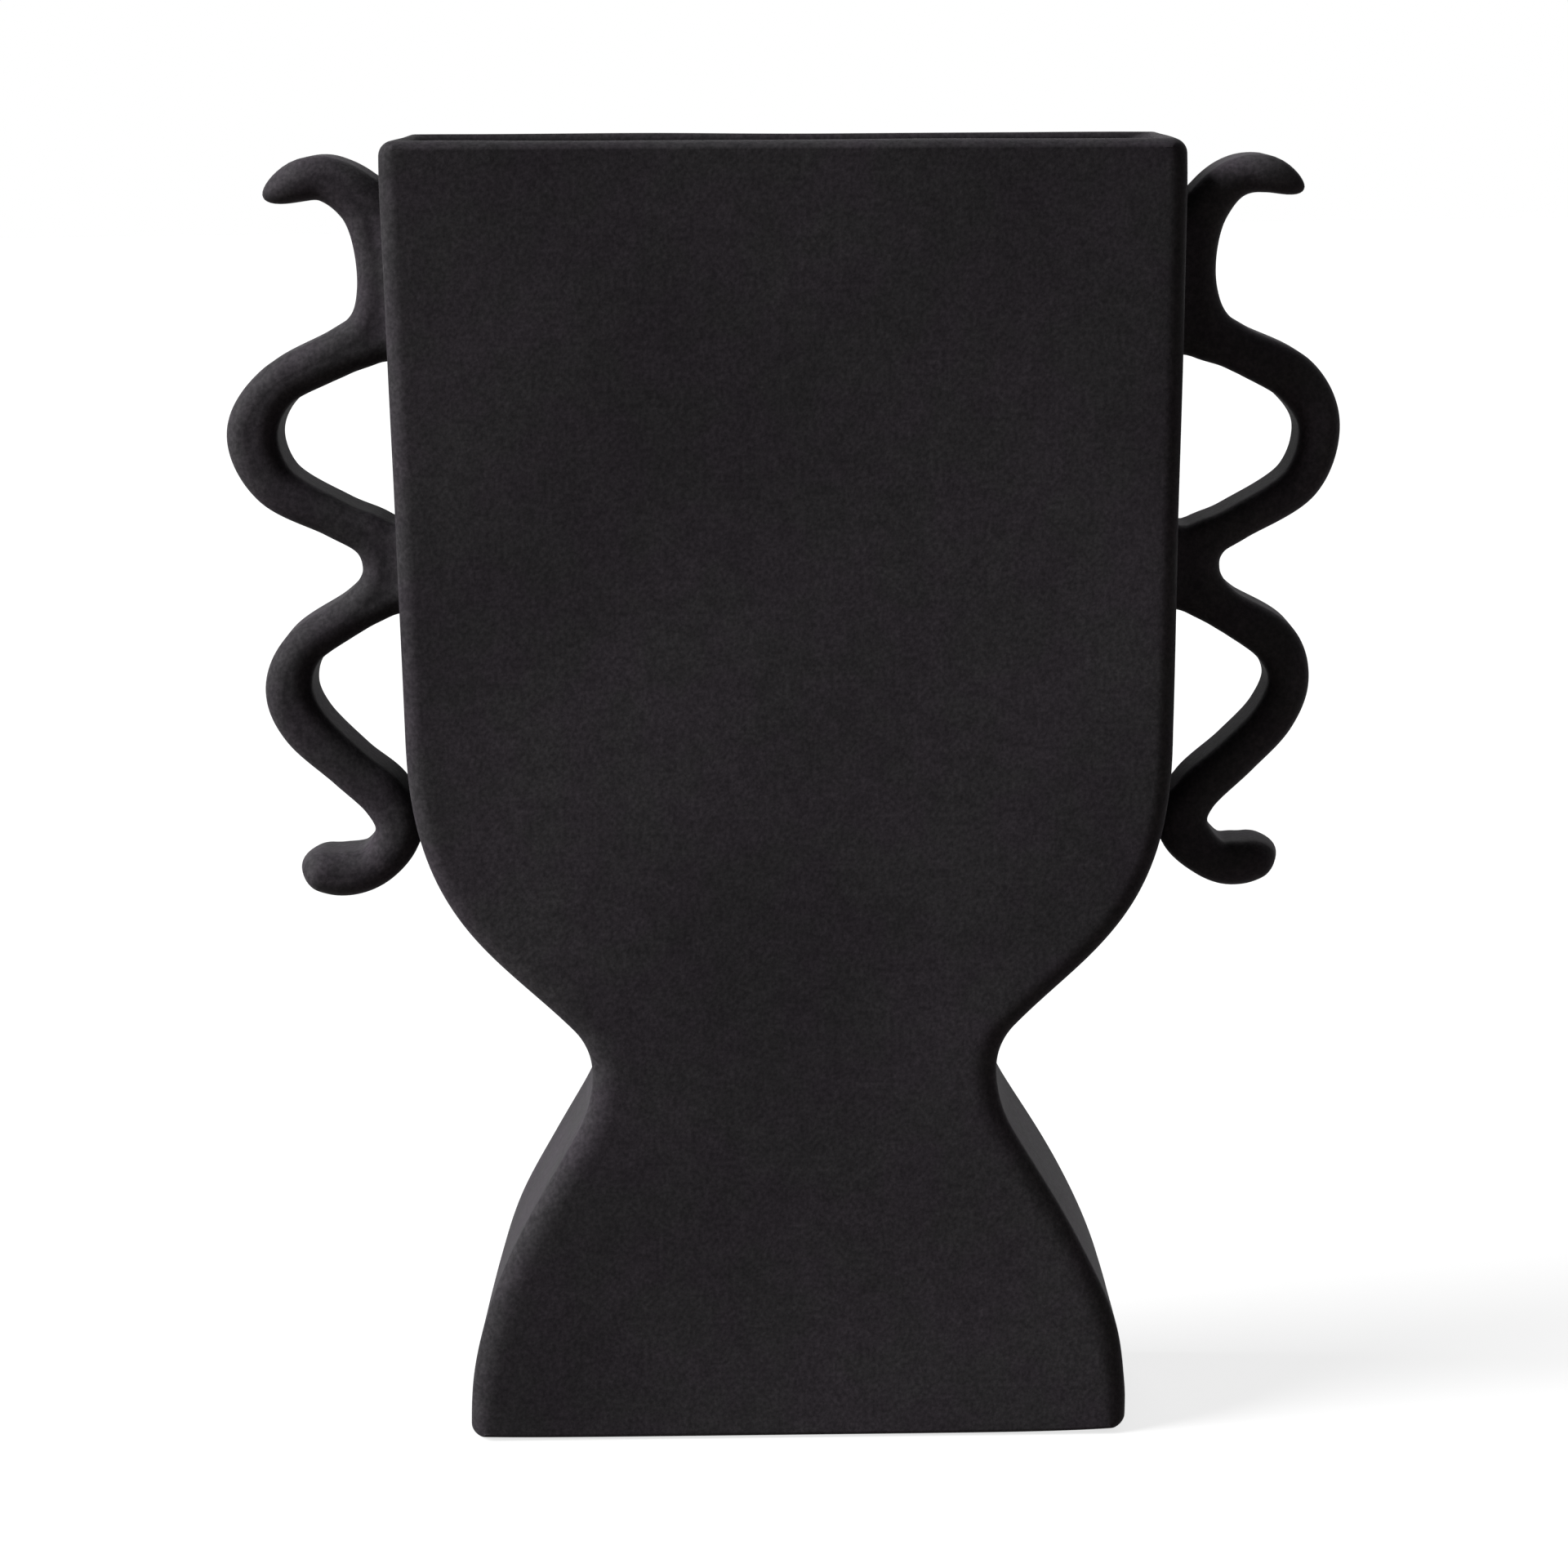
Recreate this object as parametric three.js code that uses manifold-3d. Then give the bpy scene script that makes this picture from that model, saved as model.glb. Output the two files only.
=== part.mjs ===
// Flat vase of matte black fired clay: a goblet outline of constant depth with a slot mouth,
// and a serpentine strip handle on each narrow side. Slab built from rolled clay.
// Millimetres, +Z up, origin in the middle of the standing face, front of the vase towards -Y.
import * as THREE from 'three';
import * as BufferGeometryUtils from 'three/addons/utils/BufferGeometryUtils.js';
import Module from 'manifold-3d';

const wasm = await Module();
wasm.setup();

// Body sizes
const height = 300;
const depth = 64;
const wall = 5;
const baseThickness = 6;
const edgeRadius = 4;
const rimHalfWidth = 90.3;
const rimCornerRadius = 5;
const shoulderHalfWidth = 87.4;
const shoulderHeight = 163;
const shoulderPull = 40.5;
const bowlPull = 24;
const neckHalfWidth = 46.6;
const neckHeight = 87.3;
const neckUpperRadius = 14.6;
const neckUpperAngle = 44;
const neckLowerRadius = 29;
const neckLowerAngle = 27;
const footPullAtNeck = 12.5;
const footPullAtBase = 29.5;
const footHalfWidth = 76.5;
const footCornerRadius = 6;

// Handle sizes
const handleReach = 34;
const handleDrop = 169.2;
const handleDepth = 23;
const stripHalfWidth = 6;
const rootSpread = 6;
const handleEdgeRadius = 4.5;
const seatGap = 0.3;

// Stations down the strip, as shares: stand-off from the side wall in handleReach, drop below the
// rim in handleDrop, half width in stripHalfWidth, extra width towards the wall in rootSpread
const curlStations = [
  [0.75, 0.063, 0.49, 0],
  [0.56, 0.048, 0.82, 0],
  [0.37, 0.051, 0.88, 0],
  [0.19, 0.082, 0.91, 0.1],
  [0.13, 0.136, 0.71, 0.6],
  [0.12, 0.2, 0.7, 1],
];
const upperWaveStations = [
  [0.19, 0.247, 0.74, 0.9],
  [0.4, 0.283, 0.88, 0],
  [0.82, 0.326, 0.86, 0],
  [1, 0.39, 0.99, 0],
  [0.87, 0.46, 0.89, 0],
  [0.47, 0.507, 0.76, 0],
  [0.25, 0.537, 0.69, 0.4],
  [0.17, 0.572, 0.71, 1],
];
const lowerWaveStations = [
  [0.22, 0.604, 0.74, 0.7],
  [0.38, 0.638, 0.75, 0],
  [0.73, 0.685, 0.79, 0],
  [0.85, 0.74, 0.92, 0],
  [0.75, 0.794, 0.93, 0],
  [0.46, 0.852, 0.85, 0],
  [0.23, 0.897, 0.9, 0],
  [0.17, 0.943, 0.79, 0.2],
];
const tailStations = [
  [0.31, 0.988, 0.79, 0],
  [0.55, 1, 0.87, 0],
  [0.72, 0.993, 0.6, 0],
];
const stripStations = [...curlStations, ...upperWaveStations, ...lowerWaveStations, ...tailStations];

// The two handles are bent by hand, so the curl and upper wave of the right one sit a little lower
const leftHand = { side: -1, reachFactor: 1, widthFactor: 1, sink: 0 };
const rightHand = { side: 1, reachFactor: 1, widthFactor: 0.92, sink: 1.8 };
const sinkFadeDrop = 160;
const sinkFadeLength = 60;

// Facet counts
const cornerSteps = 5;
const neckSteps = 8;
const curveSteps = 16;
const edgeSteps = 4;
const stripSteps = 4;
const endSteps = 4;
const sectionCornerSteps = 3;

// Points nearer than weldDistance are one point
const weldDistance = 0.001;
// A rounded end or corner stops this share short of closing, so that no facet has zero width
const closingShare = 0.93;
const cornerShare = 0.98;

const toRadians = THREE.MathUtils.degToRad;

// Half width of the straight tapering side at a height, carried on below the shoulder
function sideHalfWidth(z) {
  const slope = (rimHalfWidth - shoulderHalfWidth) / (height - shoulderHeight);
  return shoulderHalfWidth + slope * (z - shoulderHeight);
}

// Right half of the body outline from the middle of the base to the middle of the rim
function halfOutline() {
  const lower = toRadians(neckLowerAngle);
  const upper = toRadians(neckUpperAngle);
  const path = new THREE.Path();
  path.moveTo(footHalfWidth - footCornerRadius, 0);
  path.absarc(footHalfWidth - footCornerRadius, footCornerRadius, footCornerRadius, -Math.PI / 2, 0);

  // The foot sweeps in to the neck, which is two arcs of different radius
  const neckStart = new THREE.Vector2(
    neckHalfWidth + neckLowerRadius * (1 - Math.cos(lower)),
    neckHeight - neckLowerRadius * Math.sin(lower),
  );
  path.bezierCurveTo(
    footHalfWidth,
    footCornerRadius + footPullAtBase,
    neckStart.x + footPullAtNeck * Math.sin(lower),
    neckStart.y - footPullAtNeck * Math.cos(lower),
    neckStart.x,
    neckStart.y,
  );
  path.absarc(neckHalfWidth + neckLowerRadius, neckHeight, neckLowerRadius, Math.PI + lower, Math.PI, true);
  path.absarc(neckHalfWidth + neckUpperRadius, neckHeight, neckUpperRadius, Math.PI, Math.PI - upper, true);

  // The round underside of the bowl runs into the straight side
  const bowlStart = new THREE.Vector2(
    neckHalfWidth + neckUpperRadius * (1 - Math.cos(upper)),
    neckHeight + neckUpperRadius * Math.sin(upper),
  );
  path.bezierCurveTo(
    bowlStart.x + bowlPull * Math.sin(upper),
    bowlStart.y + bowlPull * Math.cos(upper),
    sideHalfWidth(shoulderHeight - shoulderPull),
    shoulderHeight - shoulderPull,
    shoulderHalfWidth,
    shoulderHeight,
  );
  path.lineTo(rimHalfWidth, height - rimCornerRadius);
  path.absarc(rimHalfWidth - rimCornerRadius, height - rimCornerRadius, rimCornerRadius, 0, Math.PI / 2);

  const points = [];
  for (const curve of path.curves) {
    const steps = stepsOf(curve);
    for (const point of curve.getPoints(steps)) {
      const last = points[points.length - 1];
      if (!last || last.distanceTo(point) > weldDistance) points.push(point);
    }
  }
  return points;
}

function stepsOf(curve) {
  if (curve.isLineCurve) return 1;
  if (curve.isCubicBezierCurve) return curveSteps;
  return curve.aStartAngle < Math.PI / 2 ? cornerSteps : neckSteps;
}

// Moves an open run of points to its left-hand side by a distance, along the normals
function offsetRun(points, distance) {
  return points.map((point, i) => {
    const before = points[Math.max(i - 1, 0)];
    const after = points[Math.min(i + 1, points.length - 1)];
    const along = after.clone().sub(before).normalize();
    return new THREE.Vector2(point.x - along.y * distance, point.y + along.x * distance);
  });
}

// The closed body outline moved inwards by a distance; the straight rim and base stay straight
function bodyOutline(inset) {
  const right = offsetRun(halfOutline(), inset);
  right[0].y = inset;
  right[right.length - 1].y = height - inset;
  const left = right.map((point) => new THREE.Vector2(-point.x, point.y)).reverse();
  return [...right, ...left];
}

// A closed solid through rings of equal point count, each ring a list of Vector3
function loft(rings) {
  const count = rings[0].length;
  const positions = rings.flat().flatMap((point) => [point.x, point.y, point.z]);
  const index = [];
  for (let ring = 0; ring + 1 < rings.length; ring += 1) {
    for (let i = 0; i < count; i += 1) {
      const a = ring * count + i;
      const b = ring * count + ((i + 1) % count);
      index.push(a, b, b + count, a, b + count, a + count);
    }
  }
  const lastStart = (rings.length - 1) * count;
  for (const [a, b, c] of capTriangles(rings[0])) index.push(a, c, b);
  for (const [a, b, c] of capTriangles(rings[rings.length - 1])) {
    index.push(lastStart + a, lastStart + b, lastStart + c);
  }
  const geometry = new THREE.BufferGeometry();
  geometry.setAttribute('position', new THREE.Float32BufferAttribute(positions, 3));
  geometry.setIndex(index);
  if (signedVolume(geometry) < 0) {
    for (let i = 0; i < index.length; i += 3) [index[i], index[i + 2]] = [index[i + 2], index[i]];
    geometry.setIndex(index);
  }
  return geometry;
}

// Triangles of a planar ring, wound as the ring is
function capTriangles(ring) {
  const origin = ring[0];
  const along = ring[1].clone().sub(origin).normalize();
  const normal = new THREE.Vector3();
  ring.forEach((point, i) => {
    const next = ring[(i + 1) % ring.length];
    normal.add(point.clone().sub(origin).cross(next.clone().sub(origin)));
  });
  const across = normal.normalize().clone().cross(along);
  const flat = ring.map((point) => {
    const local = point.clone().sub(origin);
    return new THREE.Vector2(local.dot(along), local.dot(across));
  });
  return THREE.ShapeUtils.triangulateShape(flat, []);
}

function signedVolume(geometry) {
  const position = geometry.getAttribute('position');
  const corners = [new THREE.Vector3(), new THREE.Vector3(), new THREE.Vector3()];
  let volume = 0;
  for (let i = 0; i < geometry.index.count; i += 3) {
    corners.forEach((corner, k) => corner.fromBufferAttribute(position, geometry.index.getX(i + k)));
    volume += corners[0].dot(corners[1].clone().cross(corners[2])) / 6;
  }
  return volume;
}

function toManifold(geometry) {
  const bare = geometry.clone();
  bare.deleteAttribute('normal');
  bare.deleteAttribute('uv');
  const merged = BufferGeometryUtils.mergeVertices(bare, weldDistance);
  return new wasm.Manifold(new wasm.Mesh({
    numProp: 3,
    vertProperties: new Float32Array(merged.getAttribute('position').array),
    triVerts: new Uint32Array(merged.index.array),
  }));
}

function toGeometry(manifold) {
  const mesh = manifold.getMesh();
  const geometry = new THREE.BufferGeometry();
  geometry.setAttribute('position', new THREE.BufferAttribute(new Float32Array(mesh.vertProperties), 3));
  geometry.setIndex(new THREE.BufferAttribute(new Uint32Array(mesh.triVerts), 1));
  return geometry;
}

// An outline in the X-Z plane laid at a depth y
function ringAt(outline, y) {
  return outline.map((point) => new THREE.Vector3(point.x, y, point.y));
}

// Front or rear slab: flat inside, its outer edge rolled round all the way
function faceWall(side) {
  const rings = [ringAt(bodyOutline(0), side * (depth / 2 - wall))];
  for (let step = 0; step <= edgeSteps; step += 1) {
    const turn = (step / edgeSteps) * (Math.PI / 2);
    const inset = edgeRadius * (1 - Math.cos(turn));
    const y = depth / 2 - edgeRadius + edgeRadius * Math.sin(turn);
    rings.push(ringAt(bodyOutline(inset), side * y));
  }
  return loft(rings);
}

// The part of the half outline at or above a height, starting exactly on it
function runAbove(points, z) {
  const first = points.findIndex((point) => point.y > z + weldDistance);
  const before = points[first - 1];
  const share = (z - before.y) / (points[first].y - before.y);
  return [before.clone().lerp(points[first], share), ...points.slice(first)];
}

// Side slab between the two faces, bent along the outline from the base up to the rim
function sideWall(side) {
  const cornerStart = height - rimCornerRadius;
  const mouthHalfWidth = rimHalfWidth - wall;
  const outer = runAbove(halfOutline(), baseThickness)
    .filter((point) => point.y < cornerStart + weldDistance || point.x > mouthHalfWidth + weldDistance);
  const inner = runAbove(offsetRun(halfOutline(), wall), baseThickness)
    .filter((point) => point.y < cornerStart - weldDistance);
  inner.push(new THREE.Vector2(mouthHalfWidth, height));
  const placed = [...outer, ...inner.reverse()].map((point) => new THREE.Vector2(side * point.x, point.y));
  const halfSpan = depth / 2 - wall;
  return loft([ringAt(placed, -halfSpan), ringAt(placed, halfSpan)]);
}

// Base slab between the two faces, its ends shaped as the foot
function base() {
  const outer = halfOutline();
  const below = outer.filter((point) => point.y < baseThickness - weldDistance);
  const right = [...below, runAbove(outer, baseThickness)[0]];
  const left = right.map((point) => new THREE.Vector2(-point.x, point.y)).reverse();
  const halfSpan = depth / 2 - wall;
  return loft([ringAt([...right, ...left], -halfSpan), ringAt([...right, ...left], halfSpan)]);
}

// Rounded rectangle across the strip: x across the strip and wider towards the wall, y through its depth
function stripSection(halfWidth, spread, halfDepth) {
  const radius = Math.min(handleEdgeRadius, halfWidth * cornerShare);
  const section = [];
  for (const [signX, signY, start] of [[1, 1, 0], [-1, 1, 1], [-1, -1, 2], [1, -1, 3]]) {
    for (let step = 0; step <= sectionCornerSteps; step += 1) {
      const turn = (start + step / sectionCornerSteps) * (Math.PI / 2);
      section.push(new THREE.Vector2(
        signX * (halfWidth - radius) + Math.max(signX, 0) * spread + radius * Math.cos(turn),
        signY * (halfDepth - radius) + radius * Math.sin(turn),
      ));
    }
  }
  return section;
}

// One serpentine strip, rounded at both ends, cut back to the body with the seat gap
function handle({ side, reachFactor, widthFactor, sink }) {
  const drops = stripStations.map(([, dropShare]) => handleDrop * dropShare);
  const centreLine = new THREE.CatmullRomCurve3(stripStations.map(([reachShare], i) => {
    const fade = THREE.MathUtils.clamp((sinkFadeDrop - drops[i]) / sinkFadeLength, 0, 1);
    const z = height - drops[i] - sink * fade;
    return new THREE.Vector3(sideHalfWidth(z) + handleReach * reachShare * reachFactor, z, 0);
  }), false, 'catmullrom', 0.5);

  // Half width and spread follow the same curve as the centre line
  const widths = new THREE.CatmullRomCurve3(stripStations.map(([, , widthShare, spreadShare]) => (
    new THREE.Vector3(stripHalfWidth * widthShare * widthFactor, rootSpread * spreadShare, 0)
  )), false, 'catmullrom', 0.5);

  const stations = [];
  const steps = (stripStations.length - 1) * stripSteps;
  for (let step = 0; step <= steps; step += 1) {
    const point = centreLine.getPoint(step / steps);
    const along = centreLine.getTangent(step / steps);
    const width = widths.getPoint(step / steps);
    stations.push({
      centre: new THREE.Vector2(point.x, point.y),
      along: new THREE.Vector2(along.x, along.y),
      halfWidth: width.x,
      spread: Math.max(width.y, 0),
      edgeLoss: 0,
    });
  }
  const rings = [...roundEnd(stations[0], -1).reverse(), ...stations, ...roundEnd(stations[steps], 1)];
  const solid = loft(rings.map(({ centre, along, halfWidth, spread, edgeLoss }) => {
    const section = stripSection(halfWidth, spread, handleDepth / 2 - edgeLoss);
    return section.map((point) => new THREE.Vector3(
      side * (centre.x + along.y * point.x),
      point.y,
      centre.y - along.x * point.x,
    ));
  }));

  const cutter = loft([ringAt(bodyOutline(-seatGap), -depth), ringAt(bodyOutline(-seatGap), depth)]);
  return toGeometry(toManifold(solid).subtract(toManifold(cutter)));
}

// Stations that close an end of the strip on a half round as wide as the strip
function roundEnd(station, direction) {
  const closing = [];
  for (let step = 1; step <= endSteps; step += 1) {
    const turn = (step / endSteps) * (Math.PI / 2) * closingShare;
    const onward = direction * station.halfWidth * Math.sin(turn);
    closing.push({
      ...station,
      centre: station.centre.clone().addScaledVector(station.along, onward),
      halfWidth: station.halfWidth * Math.cos(turn),
      edgeLoss: Math.min(handleEdgeRadius, station.halfWidth) * (1 - Math.cos(turn)),
    });
  }
  return closing;
}

function clay() {
  return new THREE.MeshStandardMaterial({ color: 0x262528, roughness: 0.92, metalness: 0 });
}

const vase = new THREE.Group();

function addPiece(name, geometry) {
  geometry.computeVertexNormals();
  const mesh = new THREE.Mesh(geometry, clay());
  mesh.name = name;
  vase.add(mesh);
}

addPiece('front_wall', faceWall(-1));
addPiece('rear_wall', faceWall(1));
addPiece('left_side_wall', sideWall(-1));
addPiece('right_side_wall', sideWall(1));
addPiece('base', base());
addPiece('left_handle', handle(leftHand));
addPiece('right_handle', handle(rightHand));

export default vase;
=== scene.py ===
"""Dresses the flat vase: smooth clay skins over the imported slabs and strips, in a white studio."""
import math

import bmesh
import bpy
from mathutils import Matrix, Vector, noise


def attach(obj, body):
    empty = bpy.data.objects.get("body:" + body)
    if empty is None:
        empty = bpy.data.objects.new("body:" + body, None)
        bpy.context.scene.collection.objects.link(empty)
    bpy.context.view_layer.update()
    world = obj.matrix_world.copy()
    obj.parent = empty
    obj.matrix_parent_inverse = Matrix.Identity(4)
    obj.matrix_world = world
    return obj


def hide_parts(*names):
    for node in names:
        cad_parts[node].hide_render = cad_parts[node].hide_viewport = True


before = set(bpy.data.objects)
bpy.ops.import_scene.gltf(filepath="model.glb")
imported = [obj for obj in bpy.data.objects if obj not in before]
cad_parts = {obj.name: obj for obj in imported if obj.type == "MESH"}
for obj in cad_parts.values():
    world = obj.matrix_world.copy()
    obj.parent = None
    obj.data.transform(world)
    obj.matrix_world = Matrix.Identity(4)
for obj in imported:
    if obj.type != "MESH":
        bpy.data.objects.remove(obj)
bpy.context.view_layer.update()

MM = 0.001

# Body sizes in millimetres, as the slabs have them but for tighter corners at the rim and the foot
HEIGHT = 300.0
DEPTH = 64.0
WALL = 5.0
BASE = 6.0
RIM_HALF = 90.3
RIM_CORNER = 3.2
SHOULDER_HALF = 87.4
SHOULDER_Z = 163.0
SHOULDER_PULL = 40.5
BOWL_PULL = 24.0
NECK_HALF = 46.6
NECK_Z = 87.3
NECK_UPPER_RADIUS = 14.6
NECK_UPPER_ANGLE = math.radians(44)
NECK_LOWER_RADIUS = 29.0
NECK_LOWER_ANGLE = math.radians(27)
FOOT_PULL_AT_NECK = 12.5
FOOT_PULL_AT_BASE = 29.5
FOOT_HALF = 76.5
FOOT_CORNER = 3.2
FOOT_CURVE_Z = 6.0

# The rolled edge of the two faces: how deep it is, how far it reaches into a face from the side,
# what share of that it reaches down from the rim and up from the base, and, by height, how many
# times further it reaches from the side, which is most at the foot and the neck
EDGE = 4.0
EDGE_REACH = 4.3
RIM_ROLL_SHARE = 0.45
BASE_ROLL_SHARE = 0.35
ROLL_SPREAD = ((0, 1.05), (20, 1.4), (90, 1.45), (140, 1.0), (300, 1.0))

# The mouth: how far its edge drops into the hollow, and the radius of the hollow's corners
MOUTH_EDGE = 1.5
MOUTH_CORNER = 5.0

# Handle sizes in millimetres: a strip whose edges are rolled to a radius, or to a share of its
# half width where that is less, with a curl at the top that tapers to the tip by a power, and a
# round tail below whose edges are bowed back
HANDLE_DEPTH = 23.0
HANDLE_EDGE = 4.5
EDGE_LIMIT_SHARE = 0.98
CURL_TAPER = 10.0
CURL_POINT = 1.6
TAIL_ROUND = 5.2
TAIL_BOW = 2.2
TAIL_BOW_LENGTH = 14.0

# Stations down each strip, bent by hand and so not quite alike: stand-off from the side wall,
# drop below the rim, half width, extra width towards the wall
LEFT_STRIP = [
    (28.6, 12.1, 4.6, 0), (19, 8.2, 4.9, 0), (12.5, 8.7, 5.3, 0), (6.4, 13.9, 5.5, 0.8),
    (4.5, 23, 4.2, 3.3), (4.1, 33.8, 4.2, 6.1), (6.6, 41.8, 4.4, 4.7), (13.8, 47.9, 5.15, 0.35),
    (27.8, 55.2, 5.2, 0), (34, 66, 6, 0), (29.5, 77.8, 5.3, 0), (16.1, 85.8, 4.4, 0.3),
    (8.4, 90.8, 4.1, 2.2), (5.9, 96.8, 4.3, 5.9), (7.4, 102.2, 4.4, 3.6),
    (12.9, 107.9, 4.45, 0.25), (24.7, 115.8, 4.7, 0), (28.7, 125.2, 5.5, 0),
    (25.5, 134.3, 5.6, 0), (15.8, 144.1, 5.1, 0), (7.7, 151.7, 5.4, 0), (5.7, 159.5, 4.7, 1.4),
    (10.7, 167.1, 4.7, 0.3), (18.8, 169.3, 5.1, 0), (28.5, 167.6, 4, 0),
]
RIGHT_STRIP = [
    (28.5, 13.3, 4.1, 0), (20, 9.7, 4.3, 0), (12.7, 10.7, 4.5, 0), (7.2, 16.4, 4.9, 0.5),
    (5.3, 25.2, 4, 3.7), (5, 35.1, 4.3, 6.4), (8, 43.4, 4.4, 5), (14.5, 49.2, 5.05, 0.35),
    (27.7, 56.5, 5.5, 0), (33.5, 67.3, 4.8, 0), (29.5, 80.3, 4.4, 0), (15.4, 89.4, 3.8, 0.3),
    (9.4, 93.4, 3.7, 2.1), (6.8, 98.4, 4.5, 7.1), (8, 103.8, 4.5, 3.8), (13, 109.4, 4.55, 0.3),
    (24.4, 117, 5.2, 0), (28.1, 125.9, 4.7, 0), (24.8, 135.1, 4.7, 0), (16.8, 143.8, 4.7, 0),
    (7.3, 152.9, 5, 0), (5.7, 160.4, 4.6, 2.5), (11.1, 167.6, 4.5, 0.9), (17.9, 169.2, 5.1, 0),
    (26.8, 166.8, 3.8, 0),
]

# Handwork on the body, in millimetres but for the slopes. The rim slopes down to the right and is
# pinched a little, and the sides sway by height.
RIM_TILT = 0.0095
RIM_PINCH = 0.005
RIM_PINCH_Z = 285
SWAY = ((0, 0.0), (40, 0.0), (75, -0.15), (112, 0.2), (165, -0.3), (230, -0.1), (300, 0.0))
# The two slabs aren't alike at the foot: height, then how far to the right the front slab's left
# and right edges lie, and the rear slab's
FOOT_UNEVEN = (
    (0, Vector((-0.3, -0.35, 0.0, 0.3))),
    (11, Vector((-0.05, -0.2, 0.0, 0.8))),
    (27, Vector((0.0, 0.65, 0.25, 0.1))),
    (45, Vector((0.0, 0.0, -0.6, 0.0))),
    (60, Vector((0.0, 0.0, -0.2, 0.1))),
    (85, Vector((0.0, 0.0, 0.0, 0.0))),
)
# The base's corners lift off the table, by a power of the distance from the middle that fades out
# at a height
LEFT_LIFT = 0.4
RIGHT_LIFT = 0.95
LIFT_POWER = 6
LIFT_HEIGHT = 20.0

# Soft unevenness of every surface, in metres: its size and height, and where it sets in above the
# table. Each piece takes it from another place of the noise.
UNEVEN_SIZE = 0.045
UNEVEN_HEIGHT = 0.00025
UNEVEN_FROM_Z = 0.002
UNEVEN_RISE = 0.02
UNEVEN_STEP = Vector((3.7, 1.9, 5.3))

# Clay smoothed over the joint where a strip meets the wall: radius in millimetres, and the share
# of it on the strip's front and rear
ROOT_FILLET = 4.5
ROOT_FACE_SHARE = 0.35

# Mesh density
CORNER_STEPS = 8
NECK_STEPS = 16
CURVE_STEPS = 40
SIDE_STEPS = 60
EDGE_STEPS = 10
MOUTH_STEPS = 4
COLUMNS = 72
DEPTH_STEPS = 24
STATION_STEPS = 16
STRIP_STEPS = 300
END_STEPS = 10
SECTION_CORNER = 6
SECTION_FLAT = 10

# Points of an outline nearer than SAME_POINT are one point, points of a mesh nearer than WELD are
# joined, and a strip's direction is taken over SLOPE_REACH to either side, all in millimetres
SAME_POINT = 1e-4
WELD = 1e-3
SLOPE_REACH = 1

# The clay's colour is a product of layers, each a noise with its scale, detail and roughness, and
# the values between which it blends from one tone to the next. One number is a grey.
DARK_CLAY = (0.0190, 0.0175, 0.0199)
PALE_CLAY = (0.0282, 0.0261, 0.0294)
CLOUDS = ((12, 3, 0.5), (0.34, DARK_CLAY), (0.66, PALE_CLAY))
TINT = ((75, 2, 0.5), (0.4, (0.98, 1.005, 0.97)), (0.6, (1.03, 0.98, 1.025)))
PATCHES = ((330, 3, 0.6), (0.36, 0.88), (0.66, 1.13))
SPECKLE = ((1000, 2, 0.6), (0.36, 0.76), (0.7, (1.36, 1.35, 1.34)))
# Edges are rubbed lighter by pointiness, which also paints a highlight along every convex edge, and
# the tone drifts with the height in metres
RUBBED_EDGES_AND_HIGHLIGHT = ((0.5, 1.0), (0.62, (1.45, 1.44, 1.42)))
BODY_DRIFT = ((0.04, 1.0), (0.09, 1.1), (0.16, 1.0), (0.3, 0.78))
HANDLE_DRIFT = ((0.13, 1.15), (0.2, 1.0), (0.3, 1.05))
CLAY_ROUGHNESS = 0.65
CLAY_SPECULAR = 0.03
SAND = (900, 4, 0.65)
SAND_STRENGTH = 0.35
SAND_HEIGHT = 0.00025

# Surroundings: the sky's strength where it only lights the object, the floor's half size and
# colours, and how much of the seen floor glows, which keeps its shadows pale
SKY_LIGHT = 0.06
FLOOR_HALF = 6.0
FLOOR_UNSEEN = (0.14, 0.12, 0.105, 1)
FLOOR_SEEN = (0.9, 0.9, 0.9, 1)
FLOOR_GLOW = 0.75


def between(value, low, high):
    """A value kept within two limits."""
    return min(max(value, low), high)


def interpolate(table, at, eased=False):
    """A value between the rows of a table that rises in its first column."""
    for (a, low), (b, high) in zip(table, table[1:]):
        if at <= b:
            share = max(at - a, 0) / (b - a)
            if eased:
                share *= share * (3 - 2 * share)
            return low + (high - low) * share
    return table[-1][1]


def side_half(z):
    """Half width of the tapering side at a height, carried on below the shoulder."""
    slope = (RIM_HALF - SHOULDER_HALF) / (HEIGHT - SHOULDER_Z)
    return SHOULDER_HALF + slope * (z - SHOULDER_Z)


def arc(cx, cz, radius, start, end, steps):
    """Points of a circular arc from one angle to another."""
    turns = [start + (end - start) * i / steps for i in range(steps + 1)]
    return [Vector((cx + radius * math.cos(t), cz + radius * math.sin(t))) for t in turns]


def bezier(a, b, c, d, steps):
    """Points of a cubic curve."""
    points = []
    for i in range(steps + 1):
        t = i / steps
        s = 1 - t
        points.append(a * s ** 3 + b * (3 * s * s * t) + c * (3 * s * t * t) + d * t ** 3)
    return points


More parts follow.
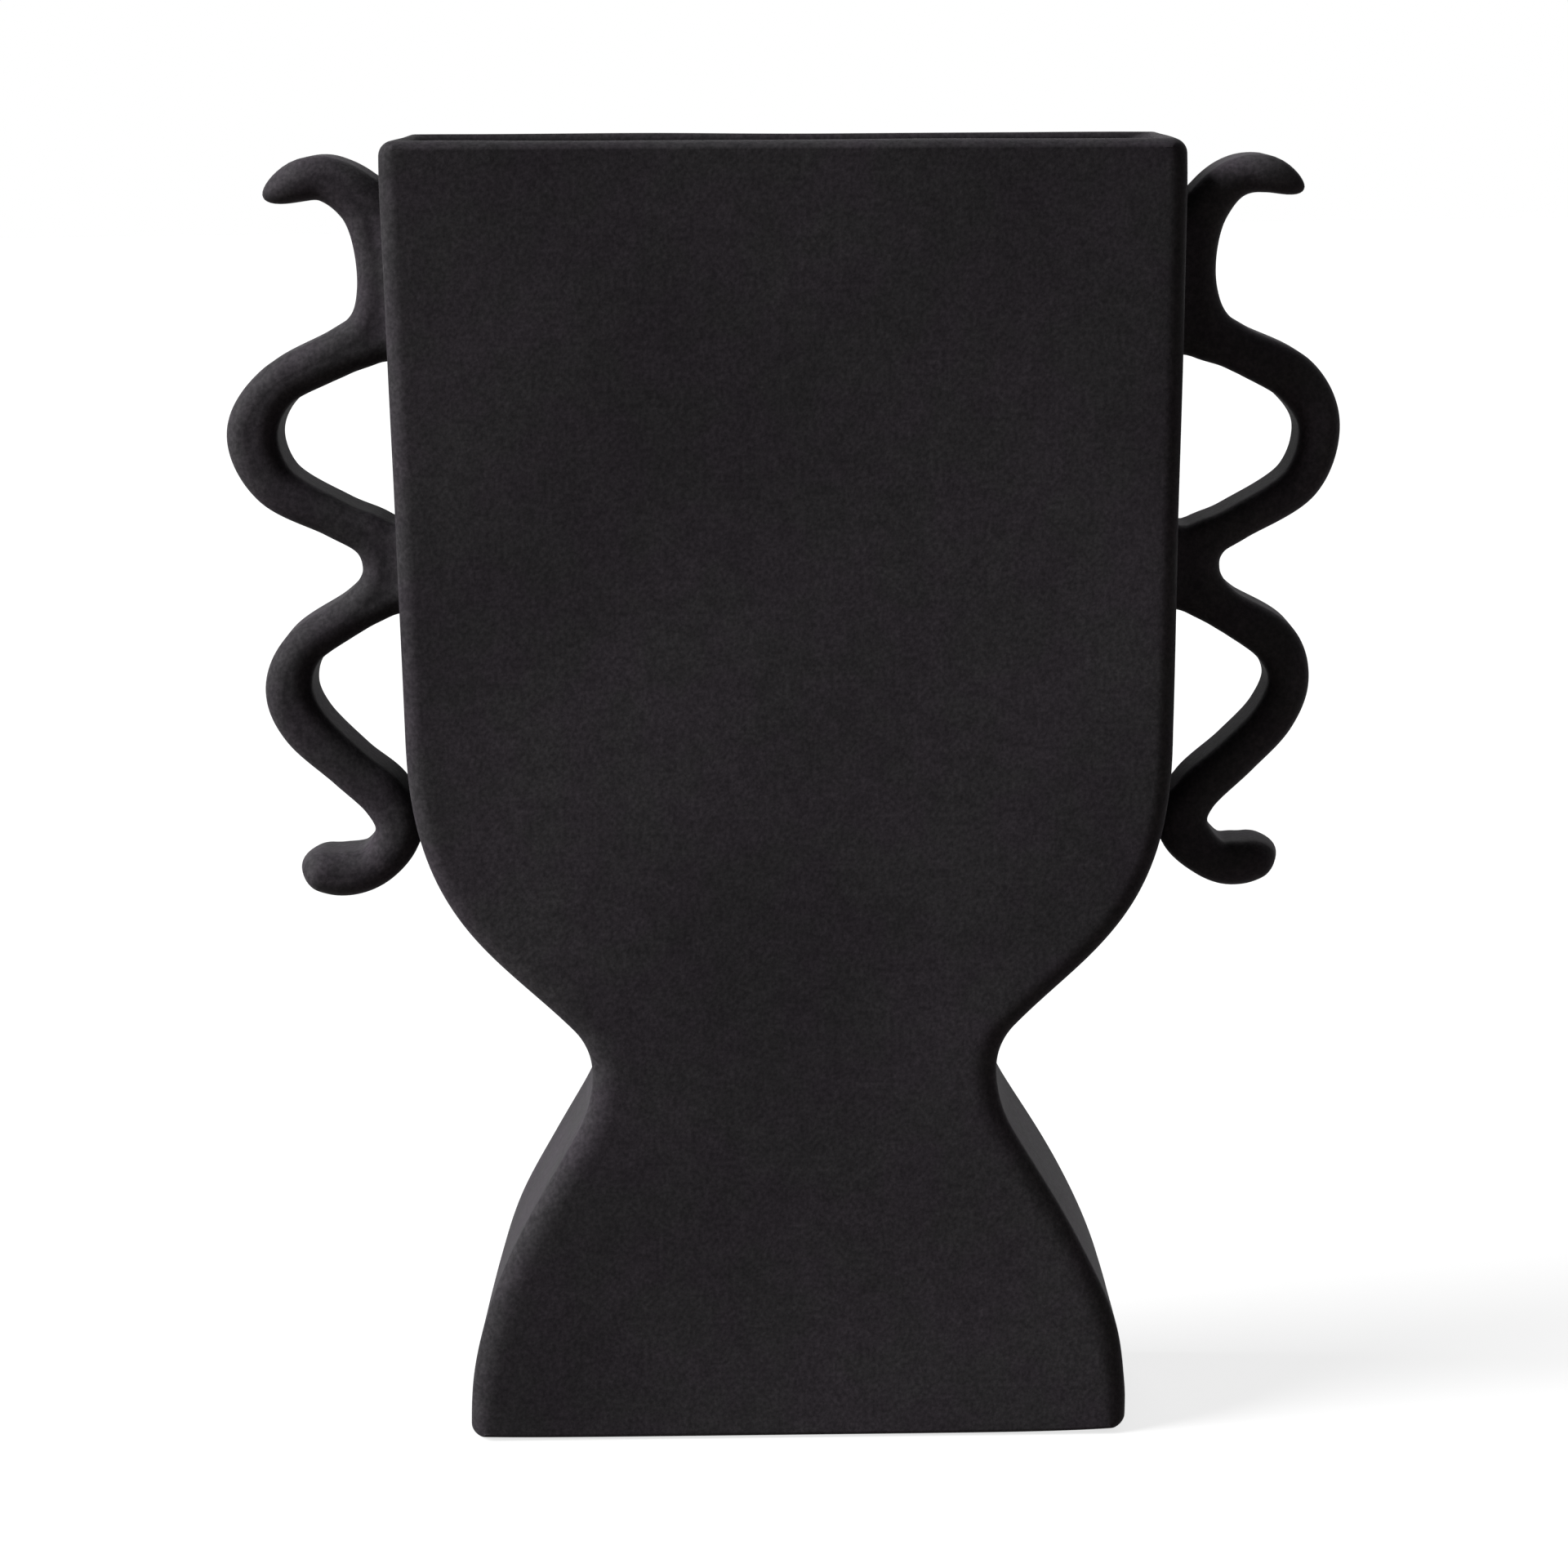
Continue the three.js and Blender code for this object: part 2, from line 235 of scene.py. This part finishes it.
def half_outline():
    """Right half of the body outline from the standing face up to the rim."""
    low, up = NECK_LOWER_ANGLE, NECK_UPPER_ANGLE
    corner = arc(
        FOOT_HALF - FOOT_CORNER, FOOT_CORNER, FOOT_CORNER, -math.pi / 2, 0, CORNER_STEPS)
    lower = arc(
        NECK_HALF + NECK_LOWER_RADIUS, NECK_Z, NECK_LOWER_RADIUS,
        math.pi + low, math.pi, NECK_STEPS)
    upper = arc(
        NECK_HALF + NECK_UPPER_RADIUS, NECK_Z, NECK_UPPER_RADIUS,
        math.pi, math.pi - up, NECK_STEPS)
    foot_start = Vector((FOOT_HALF, FOOT_CURVE_Z))
    foot = bezier(
        foot_start,
        foot_start + Vector((0, FOOT_PULL_AT_BASE)),
        lower[0] + FOOT_PULL_AT_NECK * Vector((math.sin(low), -math.cos(low))),
        lower[0],
        CURVE_STEPS,
    )
    shoulder = Vector((SHOULDER_HALF, SHOULDER_Z))
    bowl = bezier(
        upper[-1],
        upper[-1] + BOWL_PULL * Vector((math.sin(up), math.cos(up))),
        Vector((side_half(SHOULDER_Z - SHOULDER_PULL), SHOULDER_Z - SHOULDER_PULL)),
        shoulder,
        CURVE_STEPS,
    )
    rim = Vector((RIM_HALF, HEIGHT - RIM_CORNER))
    side = [shoulder.lerp(rim, i / SIDE_STEPS) for i in range(SIDE_STEPS + 1)]
    top = arc(
        RIM_HALF - RIM_CORNER, HEIGHT - RIM_CORNER, RIM_CORNER, 0, math.pi / 2, CORNER_STEPS)
    points = []
    for run in (corner, foot, lower, upper, bowl, side, top):
        points += [p for p in run if not points or (p - points[-1]).length > SAME_POINT]
    return points


# The right half of the outline, and the same as a table of half widths by height
HALF = half_outline()
HALF_WIDTHS = [(p.y, p.x) for p in HALF]


def inset_half(distance):
    """The half outline moved into the clay along its normals, as the rolled edge moves it."""
    moved = []
    last = len(HALF) - 1
    for i, point in enumerate(HALF):
        along = (HALF[min(i + 1, last)] - HALF[max(i - 1, 0)]).normalized()
        share = 1.0
        if point.y > HEIGHT - RIM_CORNER:
            share = RIM_ROLL_SHARE
        elif point.y < FOOT_CORNER:
            share = BASE_ROLL_SHARE
        further = min(distance, EDGE_REACH) * (interpolate(ROLL_SPREAD, point.y) - 1)
        across = further + distance
        moved.append(Vector((point.x - along.y * across, point.y + along.x * distance * share)))
    moved[0].y = distance * BASE_ROLL_SHARE
    moved[-1].y = HEIGHT - distance * RIM_ROLL_SHARE
    return moved


def perimeter(distance):
    """The closed outline: up the right, along the rim, down the left, back along the base."""
    right = inset_half(distance)
    left = [Vector((-p.x, p.y)) for p in reversed(right)]
    rim = [right[-1].lerp(left[0], j / COLUMNS) for j in range(1, COLUMNS)]
    base = [left[-1].lerp(right[0], j / COLUMNS) for j in range(1, COLUMNS)]
    return right + rim + left + base


class Skin:
    """Collects grids of points and turns them into one welded mesh."""

    def __init__(self):
        self.bm = bmesh.new()

    def grid(self, rows, closed=False):
        """A sheet of faces through rows of points, which are rings where it is closed."""
        verts = [[self.bm.verts.new(point) for point in row] for row in rows]
        count = len(rows[0])
        for i in range(len(rows) - 1):
            for j in range(count if closed else count - 1):
                k = (j + 1) % count
                self.bm.faces.new((verts[i][j], verts[i][k], verts[i + 1][k], verts[i + 1][j]))

    def cap(self, ring):
        """A flat fan of faces that fills a ring."""
        centre = self.bm.verts.new(sum((Vector(p) for p in ring), Vector()) / len(ring))
        verts = [self.bm.verts.new(point) for point in ring]
        for j, vert in enumerate(verts):
            self.bm.faces.new((vert, verts[(j + 1) % len(verts)], centre))

    def finish(self, name):
        """The welded mesh, brought from millimetres to metres, as an object in the scene."""
        bmesh.ops.remove_doubles(self.bm, verts=self.bm.verts, dist=WELD)
        bmesh.ops.recalc_face_normals(self.bm, faces=self.bm.faces)
        for vert in self.bm.verts:
            vert.co *= MM
        for face in self.bm.faces:
            face.smooth = True
        mesh = bpy.data.meshes.new(name)
        self.bm.to_mesh(mesh)
        self.bm.free()
        skin = bpy.data.objects.new(name, mesh)
        bpy.context.scene.collection.objects.link(skin)
        return skin


def edge_ring(side, step):
    """One ring of a face's rolled edge, from the face out to the side walls."""
    turn = math.pi / 2 * step / EDGE_STEPS
    y = DEPTH / 2 - EDGE + EDGE * math.sin(turn)
    return [(p.x, side * y, p.y) for p in perimeter(EDGE_REACH * (1 - math.cos(turn)))]


def hollow_ring(half_x, half_y, z, corner):
    """One level ring of the mouth or the hollow, with round corners."""
    bends = []
    for sign_x, sign_y, start in ((1, -1, 3), (-1, -1, 2), (-1, 1, 1), (1, 1, 0)):
        centre_x, centre_y = sign_x * (half_x - corner), sign_y * (half_y - corner)
        turn = start * math.pi / 2
        bends.append(arc(centre_x, centre_y, corner, turn + math.pi / 2, turn, CORNER_STEPS))
    points = []
    for i, bend in enumerate(bends):
        following = bends[(i + 1) % 4][0]
        steps = COLUMNS if i % 2 == 0 else DEPTH_STEPS
        points += bend + [bend[-1].lerp(following, k / steps) for k in range(1, steps)]
    return [(p.x, p.y, z) for p in points]


def row_across(half_x, y, z):
    """A straight row of points from right to left."""
    return [(half_x * (1 - 2 * j / COLUMNS), y, z) for j in range(COLUMNS + 1)]


def body_skin():
    """The whole vessel as one skin: faces, rolled edges, sides, mouth and hollow inside."""
    skin = Skin()
    for side in (-1, 1):
        skin.grid([row_across(p.x, side * DEPTH / 2, p.y) for p in inset_half(EDGE_REACH)])
        skin.grid([edge_ring(side, step) for step in range(EDGE_STEPS + 1)], closed=True)

    straight = DEPTH / 2 - EDGE
    depths = [straight * (2 * k / DEPTH_STEPS - 1) for k in range(DEPTH_STEPS + 1)]
    for mirror in (1, -1):
        skin.grid([[(mirror * p.x, y, p.y) for p in HALF] for y in depths])
    skin.grid([row_across(HALF[0].x, y, 0.0) for y in depths])

    # The rounded edge of the mouth, and then the hollow down to the base
    top_half = HALF[-1].x
    inner_y = DEPTH / 2 - WALL
    rings = [hollow_ring(top_half, straight, HEIGHT, 0.0)]
    for step in range(1, MOUTH_STEPS + 1):
        turn = math.pi / 2 * step / MOUTH_STEPS
        inward = (straight - inner_y) * math.sin(turn)
        drop = MOUTH_EDGE * (1 - math.cos(turn))
        corner = MOUTH_CORNER * step / MOUTH_STEPS
        rings.append(hollow_ring(top_half - inward, straight - inward, HEIGHT - drop, corner))
    below_edge = HEIGHT - WALL - MOUTH_EDGE
    inner = [p for p in reversed(inset_half(WALL)) if BASE < p.y < below_edge]
    widest = top_half - straight + inner_y
    for point in inner:
        rings.append(hollow_ring(min(point.x, widest), inner_y, point.y, MOUTH_CORNER))
    rings.append(hollow_ring(inner[-1].x, inner_y, BASE, MOUTH_CORNER))
    skin.grid(rings, closed=True)
    skin.cap(rings[-1])
    return skin.finish("vessel_skin")


def catmull_rom(rows, steps):
    """Uniform Catmull-Rom curve through rows of numbers."""
    rows = [Vector(row) for row in rows]
    ends = [2 * rows[0] - rows[1]] + rows + [2 * rows[-1] - rows[-2]]
    points = []
    for i in range(1, len(ends) - 2):
        a, b, c, d = ends[i - 1:i + 3]
        for k in range(steps):
            t = k / steps
            points.append(0.5 * (2 * b + (c - a) * t + (2 * a - 5 * b + 4 * c - d) * t ** 2
                                 + (3 * b - a - 3 * c + d) * t ** 3))
    return points + [rows[-1]]


def strip_section(half_width, spread, half_depth):
    """Rounded rectangle across the strip, wider towards the wall, with points on its flats too."""
    radius = min(HANDLE_EDGE, half_width * EDGE_LIMIT_SHARE)
    corners = []
    for sign_x, sign_y, start in ((1, 1, 0), (-1, 1, 1), (-1, -1, 2), (1, -1, 3)):
        cx = sign_x * (half_width - radius) + max(sign_x, 0) * spread
        cy = sign_y * (half_depth - radius)
        turn = start * math.pi / 2
        corners.append(arc(cx, cy, radius, turn, turn + math.pi / 2, SECTION_CORNER))
    section = []
    for i, corner in enumerate(corners):
        following = corners[(i + 1) % 4][0]
        section += corner
        section += [corner[-1].lerp(following, k / SECTION_FLAT) for k in range(1, SECTION_FLAT)]
    return section


def place_on(line, lengths, at):
    """The row of a line at a distance along it."""
    for i in range(1, len(line)):
        if at <= lengths[i] or i == len(line) - 1:
            share = (at - lengths[i - 1]) / (lengths[i] - lengths[i - 1])
            return line[i - 1].lerp(line[i], share)


def direction_on(line, lengths, at):
    """The direction in which a line runs at a distance along it."""
    ahead = place_on(line, lengths, min(at + SLOPE_REACH, lengths[-1]))
    behind = place_on(line, lengths, max(at - SLOPE_REACH, 0))
    return (ahead - behind).xy.normalized()


def spots_along(total):
    """Distances along a strip, each with the share of its width there, less at both ends."""
    curl, tail = [], []
    for step in range(END_STEPS + 1):
        onward = math.sin(math.pi / 2 * step / END_STEPS)
        curl.append((CURL_TAPER * (1 - onward), math.sqrt(1 - onward ** CURL_POINT)))
        tail.append((total - TAIL_ROUND * (1 - onward), math.sqrt(1 - onward ** 2)))
    span = total - CURL_TAPER - TAIL_ROUND
    middle = [(CURL_TAPER + span * i / STRIP_STEPS, 1.0) for i in range(1, STRIP_STEPS)]
    return curl[::-1] + middle + tail


def handle_skin(side, strip, name):
    """One serpentine strip with rolled edges and rounded ends."""
    rows = []
    for stand_off, drop, half_width, spread in strip:
        z = HEIGHT - drop
        rows.append((side_half(z) + stand_off, z, half_width, spread))
    line = catmull_rom(rows, STATION_STEPS)
    lengths = [0.0]
    for before, after in zip(line, line[1:]):
        lengths.append(lengths[-1] + (after - before).xy.length)

    rings = []
    for at, share in spots_along(lengths[-1]):
        x, z, half_width, spread = place_on(line, lengths, at)
        along = direction_on(line, lengths, at)
        half_depth = HANDLE_DEPTH / 2 - HANDLE_EDGE * (1 - share)
        near_tail = max(1 - (lengths[-1] - at) / TAIL_BOW_LENGTH, 0)
        ring = []
        for p in strip_section(half_width * share, max(spread, 0), half_depth):
            back = TAIL_BOW * near_tail ** 2 * (2 * p.y / HANDLE_DEPTH) ** 2
            outward = x + along.y * p.x - along.x * back
            ring.append((side * outward, p.y, z - along.x * p.x - along.y * back))
        rings.append(ring)
    skin = Skin()
    skin.grid(rings, closed=True)
    return skin.finish(name)


def unevenness(place, normal, offset):
    """Soft swells of a surface, fading out at the standing face."""
    rise = between((place.z - UNEVEN_FROM_Z) / UNEVEN_RISE, 0, 1)
    return normal * (noise.noise(place / UNEVEN_SIZE + offset) * UNEVEN_HEIGHT * rise)


def root_swell(place, normal):
    """How the clay of a strip widens to the wall where it is luted."""
    gap = between(abs(place.x) / MM - interpolate(HALF_WIDTHS, place.z / MM), 0, ROOT_FILLET)
    swell = ROOT_FILLET - math.sqrt(ROOT_FILLET ** 2 - (ROOT_FILLET - gap) ** 2)
    return Vector((0, normal.y * ROOT_FACE_SHARE, normal.z)) * (swell * MM)


def body_shift(place):
    """How far handwork has moved a point of the body sideways and up."""
    x, y, z = place / MM
    across = between(x / interpolate(HALF_WIDTHS, z), -1, 1)
    rightward = (across + 1) / 2
    rearward = y / DEPTH + 0.5
    front_left, front_right, rear_left, rear_right = interpolate(FOOT_UNEVEN, z, eased=True)
    front = front_left + (front_right - front_left) * rightward
    rear = rear_left + (rear_right - rear_left) * rightward
    sideways = interpolate(SWAY, z) + front + (rear - front) * rearward
    sideways -= x * RIM_PINCH * between((z - RIM_PINCH_Z) / (HEIGHT - RIM_PINCH_Z), 0, 1) ** 2

    upper = between((z - SHOULDER_Z) / (HEIGHT - SHOULDER_Z), 0, 1)
    lift = RIGHT_LIFT if across > 0 else LEFT_LIFT
    lift *= abs(x / FOOT_HALF) ** LIFT_POWER * max(1 - z / LIFT_HEIGHT, 0) ** 2
    return Vector((sideways, 0, lift - x * RIM_TILT * upper ** 2)) * MM


def shape_by_hand(skin, seed, luted=False):
    """Moves the points as handwork does, and smooths a strip to the wall that it is luted to."""
    offset = UNEVEN_STEP * seed
    vertices = skin.data.vertices
    places = [(vert.co.copy(), vert.normal.copy()) for vert in vertices]
    for vert, (place, normal) in zip(vertices, places):
        shift = root_swell(place, normal) if luted else body_shift(place)
        vert.co = place + unevenness(place, normal, offset) + shift
    skin.data.update()


def clay(name, drift):
    """Unglazed black clay: sandy grain, clouds, a tone that drifts with height, edges rubbed lighter
    with a painted highlight.
    """
    material = bpy.data.materials.new(name)
    material.use_nodes = True
    nodes = material.node_tree.nodes
    links = material.node_tree.links
    shader = nodes["Principled BSDF"]
    shader.inputs["Roughness"].default_value = CLAY_ROUGHNESS
    shader.inputs["Specular IOR Level"].default_value = CLAY_SPECULAR

    place = nodes.new("ShaderNodeTexCoord").outputs["Object"]
    split = nodes.new("ShaderNodeSeparateXYZ")
    links.new(place, split.inputs["Vector"])
    shape = nodes.new("ShaderNodeNewGeometry")

    def grain(scale, detail, rough):
        """Noise fixed to the piece."""
        node = nodes.new("ShaderNodeTexNoise")
        node.inputs["Scale"].default_value = scale
        node.inputs["Detail"].default_value = detail
        node.inputs["Roughness"].default_value = rough
        links.new(place, node.inputs["Vector"])
        return node.outputs["Fac"]

    def ramp(source, *stops):
        """Tones blended by a value, from one stop to the next."""
        node = nodes.new("ShaderNodeValToRGB")
        elements = node.color_ramp.elements
        for i, (position, tone_there) in enumerate(stops):
            element = elements[i] if i < 2 else elements.new(position)
            element.position = position
            if isinstance(tone_there, float):
                tone_there = (tone_there, tone_there, tone_there)
            element.color = (*tone_there, 1)
        links.new(source, node.inputs["Fac"])
        return node.outputs["Color"]

    layers = [ramp(grain(*noise_kind), *stops)
              for noise_kind, *stops in (CLOUDS, TINT, PATCHES, SPECKLE)]
    # Convex edges lighter by pointiness: partly rubbed clay, partly a painted highlight along every
    # ridge
    layers.append(ramp(shape.outputs["Pointiness"], *RUBBED_EDGES_AND_HIGHLIGHT))
    layers.append(ramp(split.outputs["Z"], *drift))
    tone = layers[0]
    for layer in layers[1:]:
        product = nodes.new("ShaderNodeVectorMath")
        product.operation = "MULTIPLY"
        links.new(tone, product.inputs[0])
        links.new(layer, product.inputs[1])
        tone = product.outputs["Vector"]
    links.new(tone, shader.inputs["Base Color"])

    bump = nodes.new("ShaderNodeBump")
    bump.inputs["Strength"].default_value = SAND_STRENGTH
    bump.inputs["Distance"].default_value = SAND_HEIGHT
    links.new(grain(*SAND), bump.inputs["Height"])
    links.new(bump.outputs["Normal"], shader.inputs["Normal"])
    return material


body_clay = clay("body_clay", BODY_DRIFT)
handle_clay = clay("handle_clay", HANDLE_DRIFT)

vessel = body_skin()
shape_by_hand(vessel, 1)
vessel.data.materials.append(body_clay)
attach(vessel, "root")
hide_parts("front_wall", "rear_wall", "left_side_wall", "right_side_wall", "base")

for side, strip, node in ((-1, LEFT_STRIP, "left_handle"), (1, RIGHT_STRIP, "right_handle")):
    piece = handle_skin(side, strip, node + "_skin")
    shape_by_hand(piece, 2 + side, luted=True)
    piece.data.materials.append(handle_clay)
    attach(piece, "root")
    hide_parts(node)


def look_at(position, target, roll=0.0):
    """A matrix whose -Z axis points from position to target, turned about it by roll."""
    forward = (Vector(target) - Vector(position)).normalized()
    right = forward.cross(Vector((0, 0, 1))).normalized()
    up = right.cross(forward)
    turned_right = right * math.cos(roll) + up * math.sin(roll)
    turned_up = up * math.cos(roll) - right * math.sin(roll)
    matrix = Matrix((turned_right, turned_up, -forward)).transposed().to_4x4()
    matrix.translation = Vector(position)
    return matrix


def sun(name, position, spread, strength, glossy=True):
    """A broad soft light from the direction of a position, with or without its highlights."""
    data = bpy.data.lights.new(name, "SUN")
    data.angle = math.radians(spread)
    data.energy = strength
    light = bpy.data.objects.new(name, data)
    light.matrix_world = look_at(position, (0, 0, 0))
    light.visible_glossy = glossy
    bpy.context.scene.collection.objects.link(light)


def seen_directly(tree):
    """1 where a surface is seen by camera, reflection or glass, and 0 where it only lights."""
    rays = tree.nodes.new("ShaderNodeLightPath")
    seen = rays.outputs["Is Camera Ray"]
    for ray in ("Is Glossy Ray", "Is Transmission Ray"):
        larger = tree.nodes.new("ShaderNodeMath")
        larger.operation = "MAXIMUM"
        tree.links.new(seen, larger.inputs[0])
        tree.links.new(rays.outputs[ray], larger.inputs[1])
        seen = larger.outputs["Value"]
    return seen


# Camera at the photograph's viewing angle, as fitted to its perspective
camera_data = bpy.data.cameras.new("camera")
camera_data.lens = 100
camera_data.sensor_width = 36
camera = bpy.data.objects.new("camera", camera_data)
camera.matrix_world = look_at(
    position=(0.003, -1.0075, 0.3258), target=(-0.0017, 0, 0.1495), roll=math.radians(-0.761))
bpy.context.scene.collection.objects.link(camera)
bpy.context.scene.camera = camera

sun("key", position=(-1.62, -0.42, 1.02), spread=35, strength=7.8)
sun("back", position=(0.35, 1.8, 0.8), spread=60, strength=2.6, glossy=False)

# World: white where it is seen, dim where it only lights the object
world = bpy.data.worlds.new("studio")
world.use_nodes = True
bpy.context.scene.world = world
sky = world.node_tree.nodes["Background"]
sky.inputs["Color"].default_value = (1, 1, 1, 1)
strength = world.node_tree.nodes.new("ShaderNodeMix")
strength.inputs["A"].default_value = SKY_LIGHT
strength.inputs["B"].default_value = 1.0
world.node_tree.links.new(seen_directly(world.node_tree), strength.inputs["Factor"])
world.node_tree.links.new(strength.outputs["Result"], sky.inputs["Strength"])

# Floor: white with a pale shadow where it is seen, a plain dark sheet where it only lights
floor_mesh = bmesh.new()
bmesh.ops.create_grid(floor_mesh, x_segments=2, y_segments=2, size=FLOOR_HALF)
floor_data = bpy.data.meshes.new("floor")
floor_mesh.to_mesh(floor_data)
floor_mesh.free()
floor = bpy.data.objects.new("floor", floor_data)
bpy.context.scene.collection.objects.link(floor)
paper = bpy.data.materials.new("paper")
paper.use_nodes = True
nodes = paper.node_tree.nodes
links = paper.node_tree.links
nodes.clear()
output = nodes.new("ShaderNodeOutputMaterial")
unseen = nodes.new("ShaderNodeBsdfDiffuse")
unseen.inputs["Color"].default_value = FLOOR_UNSEEN
white = nodes.new("ShaderNodeBsdfDiffuse")
white.inputs["Color"].default_value = FLOOR_SEEN
glow = nodes.new("ShaderNodeEmission")
glow.inputs["Strength"].default_value = 1.0
seen = nodes.new("ShaderNodeMixShader")
seen.inputs["Fac"].default_value = FLOOR_GLOW
links.new(white.outputs["BSDF"], seen.inputs[1])
links.new(glow.outputs["Emission"], seen.inputs[2])
choice = nodes.new("ShaderNodeMixShader")
links.new(seen_directly(paper.node_tree), choice.inputs["Fac"])
links.new(unseen.outputs["BSDF"], choice.inputs[1])
links.new(seen.outputs["Shader"], choice.inputs[2])
links.new(choice.outputs["Shader"], output.inputs["Surface"])
floor_data.materials.append(paper)

bpy.context.scene.view_settings.view_transform = "Standard"
